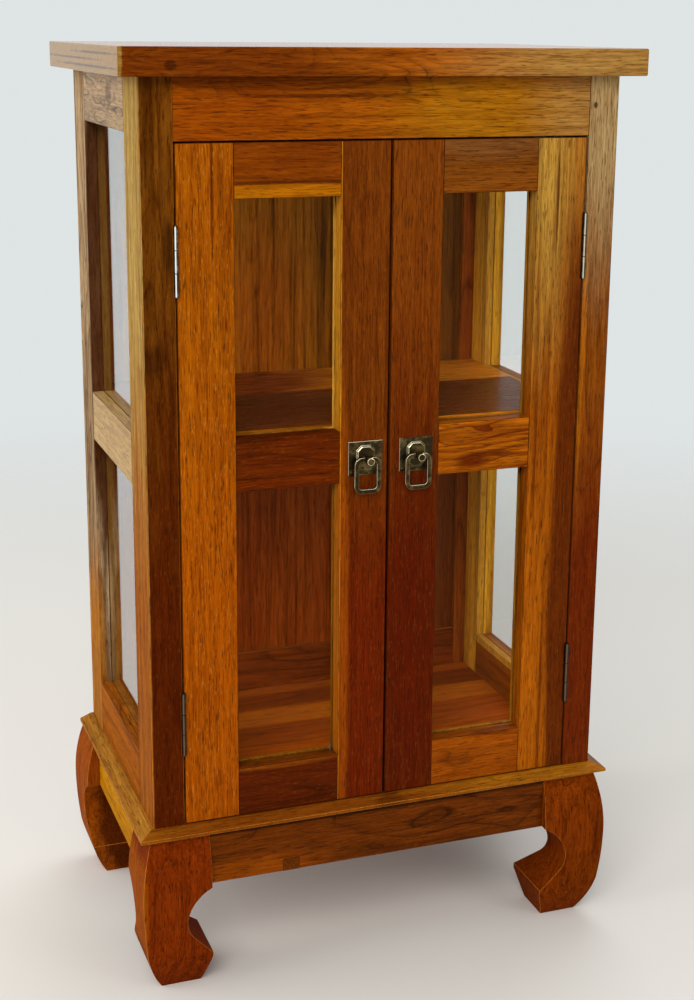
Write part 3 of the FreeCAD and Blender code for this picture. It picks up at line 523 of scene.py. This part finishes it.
# Hinge steel: a painted highlight down the faces turned to the front, brightest on the upper hinges, the
# left one most.
STEEL = metal(
    "dull_steel_painted_highlights", (52, 44, 36), (112, 90, 72), roughness=0.32,
    highlight_towards=(-0.35, -0.93, 0.0), fade=(0.93, 0.99),
    spots=[
        Spot((-199, -147, 710), (30, 30, 60), (250, 248, 242), 1.0, 0.2),
        Spot((199, -147, 710), (30, 30, 60), (204, 194, 168), 1.0, 0.2),
    ])
GRIMY_STEEL = metal("grimy_steel", (40, 37, 32), (70, 66, 60), roughness=0.5)
PALE_STEEL = metal("catch_steel", (120, 118, 112), (160, 158, 150), roughness=0.4, seed=3.0)
BRASS = metal("antique_brass", (46, 37, 22), (98, 80, 48), roughness=0.40)
# Brass for the plates' and bails' edges: worn, with a painted highlight on faces turned up and to the
# left.
WORN_HIGHLIT_BRASS = metal(
    "worn_brass_painted_highlight", (112, 94, 58), (240, 228, 192), roughness=0.24,
    highlight_towards=(-0.64, -0.2, 0.74), fade=(0.3, 0.6))
# Pale brass on the edges of the pull posts: a painted highlight round the rim of each head.
HIGHLIT_BRASS = metal("brass_painted_rim", (206, 190, 146), (244, 234, 204), roughness=0.22)
DOOR_GLASS = pane("door_glass_pane", DOOR_GLASS_IOR)
SIDE_GLASS = pane("side_glass_pane", SIDE_GLASS_IOR)

for node in ("post_hinge_leaves", "hinge_pins", "left_door_hinge_leaves", "right_door_hinge_leaves"):
    dress(node, STEEL)
    soften(NODES[node], HINGE_EDGE, GRIMY_STEEL)
for node in ("left_strike_plate", "right_strike_plate", "magnetic_catches"):
    dress(node, PALE_STEEL)
    soften(NODES[node], CATCH_EDGE)
PULL_PARTS = (
    ("pull_plate", PULL_EDGE, WORN_HIGHLIT_BRASS),
    ("bail", PULL_EDGE, WORN_HIGHLIT_BRASS),
    ("pull_post", PULL_POST_EDGE, HIGHLIT_BRASS),
)
for side in SIDES:
    for part, width, edge_material in PULL_PARTS:
        dress(f"{side}_{part}", BRASS)
        soften(NODES[f"{side}_{part}"], width, edge_material)
    dress(f"{side}_door_glass", DOOR_GLASS)
dress("side_glass", SIDE_GLASS)


def new_object(name, mesh, material):
    """An object of one mesh and one material."""
    data = bpy.data.meshes.new(name)
    mesh.to_mesh(data)
    mesh.free()
    data.materials.append(material)
    obj = bpy.data.objects.new(name, data)
    bpy.context.scene.collection.objects.link(obj)
    return obj


# Small fasteners and the plug in the apron.
def add_piece(name, mesh, body, material):
    """A small piece that moves with a body."""
    piece = new_object(name, mesh, material)
    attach(piece, body)
    return piece


DOME_SEGMENTS, DOME_RINGS = 20, 10


def add_dome(mesh, seat, out, radius, height, slot_width=0.0, slot_turn=0.0):
    """A low domed head on its seat, facing out, in one piece or in two halves beside a slot."""
    facing = Vector(out).to_track_quat("Z", "Y").to_matrix().to_4x4()
    stand = Matrix.Translation(seat) @ facing @ Matrix.Rotation(slot_turn, 4, "Z")
    squash = Matrix.Diagonal((radius, radius, height, 1))
    for half in ((1, -1) if slot_width else (1,)):
        part = bmesh.new()
        bmesh.ops.create_uvsphere(
            part, u_segments=DOME_SEGMENTS, v_segments=DOME_RINGS, radius=1.0, matrix=squash)
        cuts = [((0, 0, 0), (0, 0, 1))]
        if slot_width:
            cuts.append(((0, half * slot_width / 2, 0), (0, half, 0)))
        for place, normal in cuts:
            everything = part.verts[:] + part.edges[:] + part.faces[:]
            bmesh.ops.bisect_plane(
                part, geom=everything, plane_co=place, plane_no=normal, clear_inner=True)
            bmesh.ops.holes_fill(part, edges=[edge for edge in part.edges if edge.is_boundary])
        part.transform(stand)
        scratch = bpy.data.meshes.new("head")
        part.to_mesh(scratch)
        part.free()
        mesh.from_mesh(scratch)
        bpy.data.meshes.remove(scratch)


HINGE_LENGTH = 62 * MM
SCREW_RADIUS, SCREW_HEIGHT, SCREW_SLOT = 2.8 * MM, 0.35 * MM, 0.6 * MM
SCREW_INSET, SCREW_SPACING = 6.5 * MM, 21 * MM

# Radians by which a screw's slot turns from one screw to the next, and to a metre of height.
SLOT_TURN_STEP, SLOT_TURN_RISE = 0.9, 9


def hinge_screws(name, body, faces):
    """Three slotted heads on each hinge leaf. A face is its X, the way it looks and its leaf's box."""
    mesh = bmesh.new()
    for face_x, out, (low, high) in faces:
        for middle in (low[2] + HINGE_LENGTH / 2, high[2] - HINGE_LENGTH / 2):
            for step in (-1, 0, 1):
                seat = Vector((face_x, high[1] - SCREW_INSET, middle + step * SCREW_SPACING))
                slot_turn = SLOT_TURN_STEP * step + middle * SLOT_TURN_RISE
                add_dome(mesh, seat, (out, 0, 0), SCREW_RADIUS, SCREW_HEIGHT, SCREW_SLOT, slot_turn)
    add_piece(name, mesh, body, STEEL)


PLATE_THICKNESS = 1.2 * MM
PIN_RADIUS, PIN_HEIGHT, PIN_INSET = 1.1 * MM, 0.5 * MM, 3.2 * MM


def plate_pins(side):
    """A pin in each corner of a pull's plate."""
    low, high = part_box(f"{side}_pull_plate")
    mesh = bmesh.new()
    for x in (low[0] + PIN_INSET, high[0] - PIN_INSET):
        for z in (low[2] + PIN_INSET, high[2] - PIN_INSET):
            add_dome(mesh, Vector((x, high[1] - PLATE_THICKNESS, z)), (0, -1, 0), PIN_RADIUS, PIN_HEIGHT)
    add_piece(f"{side}_plate_pins", mesh, f"{side}_door", BRASS)


post_faces = []
for side, inward in zip(SIDES, (1, -1)):
    leaf_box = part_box(f"{side}_door_hinge_leaves")
    hinge_end = 0 if side == "left" else 1
    stile_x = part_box(f"{side}_hinge_stile")[hinge_end][0]
    post_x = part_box(f"front_{side}_post")[1 - hinge_end][0]
    post_faces.append((post_x, inward, leaf_box))
    hinge_screws(f"{side}_door_hinge_screws", f"{side}_door", [(stile_x, -inward, leaf_box)])
    plate_pins(side)
hinge_screws("post_hinge_screws", "cabinet", post_faces)

PLUG_X = -95 * MM
PLUG_WIDTH, PLUG_HEIGHT, PLUG_PROUD = 17 * MM, 13 * MM, 0.4 * MM


def apron_plug():
    """Square end-grain plug at the front apron's lower edge."""
    apron_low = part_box("front_apron")[0]
    place = Matrix.Translation((PLUG_X, apron_low[1] - PLUG_PROUD / 2, apron_low[2] + PLUG_HEIGHT / 2))
    mesh = bmesh.new()
    size = Matrix.Diagonal((PLUG_WIDTH, PLUG_PROUD, PLUG_HEIGHT, 1))
    bmesh.ops.create_cube(mesh, size=1.0, matrix=place @ size)
    material = teak("teak_apron_plug", "Y", (104, 48, 6), (60, 22, 3), seed=9.1, figure=20, spread=60)
    soften(add_piece("apron_plug", mesh, "cabinet", material), PLUG_EDGE, JOINT)


GLAZING_PIN_LENGTH, GLAZING_PIN_ROOT, GLAZING_PIN_TIP = 8 * MM, 1.0 * MM, 0.7 * MM
GLAZING_PIN_INSET, GLAZING_PIN_GAP = 3.5 * MM, 2.5 * MM
GLAZING_PIN_SEGMENTS = 16


def glazing_pin():
    """Tapered pin in the lower inner corner of the left door's lower pane."""
    place = Matrix.Translation((
        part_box("left_meeting_stile")[0][0] - GLAZING_PIN_INSET,
        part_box("left_door_glass")[0][1] - GLAZING_PIN_GAP,
        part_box("left_door_bottom_rail")[1][2] + GLAZING_PIN_LENGTH / 2))
    mesh = bmesh.new()
    bmesh.ops.create_cone(
        mesh, cap_ends=True, segments=GLAZING_PIN_SEGMENTS, radius1=GLAZING_PIN_ROOT,
        radius2=GLAZING_PIN_TIP, depth=GLAZING_PIN_LENGTH, matrix=place)
    add_piece("left_glazing_pin", mesh, "left_door", PALE_STEEL)


apron_plug()
glazing_pin()

# Floor, which fades out into the backdrop between two distances from the cabinet, in metres.
FLOOR_COLOUR = (0.74, 0.71, 0.67, 1)
FLOOR_RADIUS, FLOOR_SEGMENTS = 4.0, 96
FADE_START, FADE_END = 0.8, 2.4


def make_floor():
    graph = Graph(bpy.data.materials.new("studio_floor"))
    away = graph.vector("LENGTH", graph.node("ShaderNodeTexCoord").outputs["Object"])
    graph.principled({
        "Base Color": FLOOR_COLOUR,
        "Roughness": 0.7,
        "Specular IOR Level": 0.2,
        "Alpha": graph.smooth(away, low=FADE_END, high=FADE_START),
    })
    mesh = bmesh.new()
    bmesh.ops.create_circle(mesh, cap_ends=True, radius=FLOOR_RADIUS, segments=FLOOR_SEGMENTS)
    floor = new_object("studio_floor", mesh, graph.owner)


# Backdrop: its strength as light, and what is added to that where it is mirrored and where it is seen.
SKY_COLOUR = (0.92, 0.97, 0.975, 1)
SKY_LIGHT, SKY_MIRRORED, SKY_SEEN = 0.5, 0.45, 0.3


def make_world():
    graph = Graph(bpy.data.worlds.new("studio"), "ShaderNodeOutputWorld")
    path = graph.node("ShaderNodeLightPath").outputs
    mirrored = graph.math("MAXIMUM", path["Is Glossy Ray"], path["Is Transmission Ray"])
    level = graph.math("MULTIPLY_ADD", mirrored, SKY_MIRRORED, SKY_LIGHT)
    level = graph.math("MULTIPLY_ADD", path["Is Camera Ray"], SKY_SEEN, level)
    graph.surface(graph.node("ShaderNodeBackground", {"Color": SKY_COLOUR, "Strength": level}))
    bpy.context.scene.world = graph.owner


def lamp(name, place, target, size, power, colour=(1, 1, 1), in_gloss=True):
    """A soft lamp that is never seen itself, and is mirrored by gloss or not."""
    light = bpy.data.lights.new(name, "AREA")
    light.shape = "RECTANGLE"
    light.size, light.size_y = size
    light.energy = power
    light.color = colour
    obj = bpy.data.objects.new(name, light)
    obj.location = place
    obj.rotation_euler = (Vector(target) - Vector(place)).to_track_quat("-Z", "Y").to_euler()
    obj.visible_camera = False
    obj.visible_transmission = False
    obj.visible_glossy = in_gloss
    bpy.context.scene.collection.objects.link(obj)


WARM_WHITE = (1.0, 0.97, 0.92)
make_floor()
make_world()
lamp("key", place=(-1.5, -2.4, 2.4), target=(0, 0, 0.45), size=(2.0, 1.6), power=66, colour=WARM_WHITE)
lamp("fill", place=(1.7, -2.5, 1.1), target=(0, 0, 0.6), size=(1.2, 1.2), power=14)
lamp("side", place=(-2.6, 0.0, 1.3), target=(0, 0, 0.5), size=(1.6, 1.6), power=34, in_gloss=False)
lamp("back", place=(0.8, 1.3, 3.0), target=(0, 0, 0.5), size=(2.0, 2.0), power=30)

# Camera at the photo's place, turned from looking straight down by degrees about X, Y and Z, with the
# off-centre middle of the photo's frame as its shift.
CAMERA_PLACE = (-0.54075, -1.53775, 0.91258)
CAMERA_TURN = (76.01723, -0.55972, -20.14073)
CAMERA_SHIFT = (-0.0130, -0.0676)
LENS, SENSOR_WIDTH = 59.05, 36


def make_camera():
    data = bpy.data.cameras.new("camera")
    data.lens = LENS
    data.sensor_width = SENSOR_WIDTH
    data.shift_x, data.shift_y = CAMERA_SHIFT
    camera = bpy.data.objects.new("camera", data)
    turn = Euler([math.radians(angle) for angle in CAMERA_TURN])
    camera.matrix_world = Matrix.LocRotScale(Vector(CAMERA_PLACE), turn, None)
    bpy.context.scene.collection.objects.link(camera)
    bpy.context.scene.camera = camera


make_camera()
bpy.context.scene.view_settings.view_transform = "Standard"
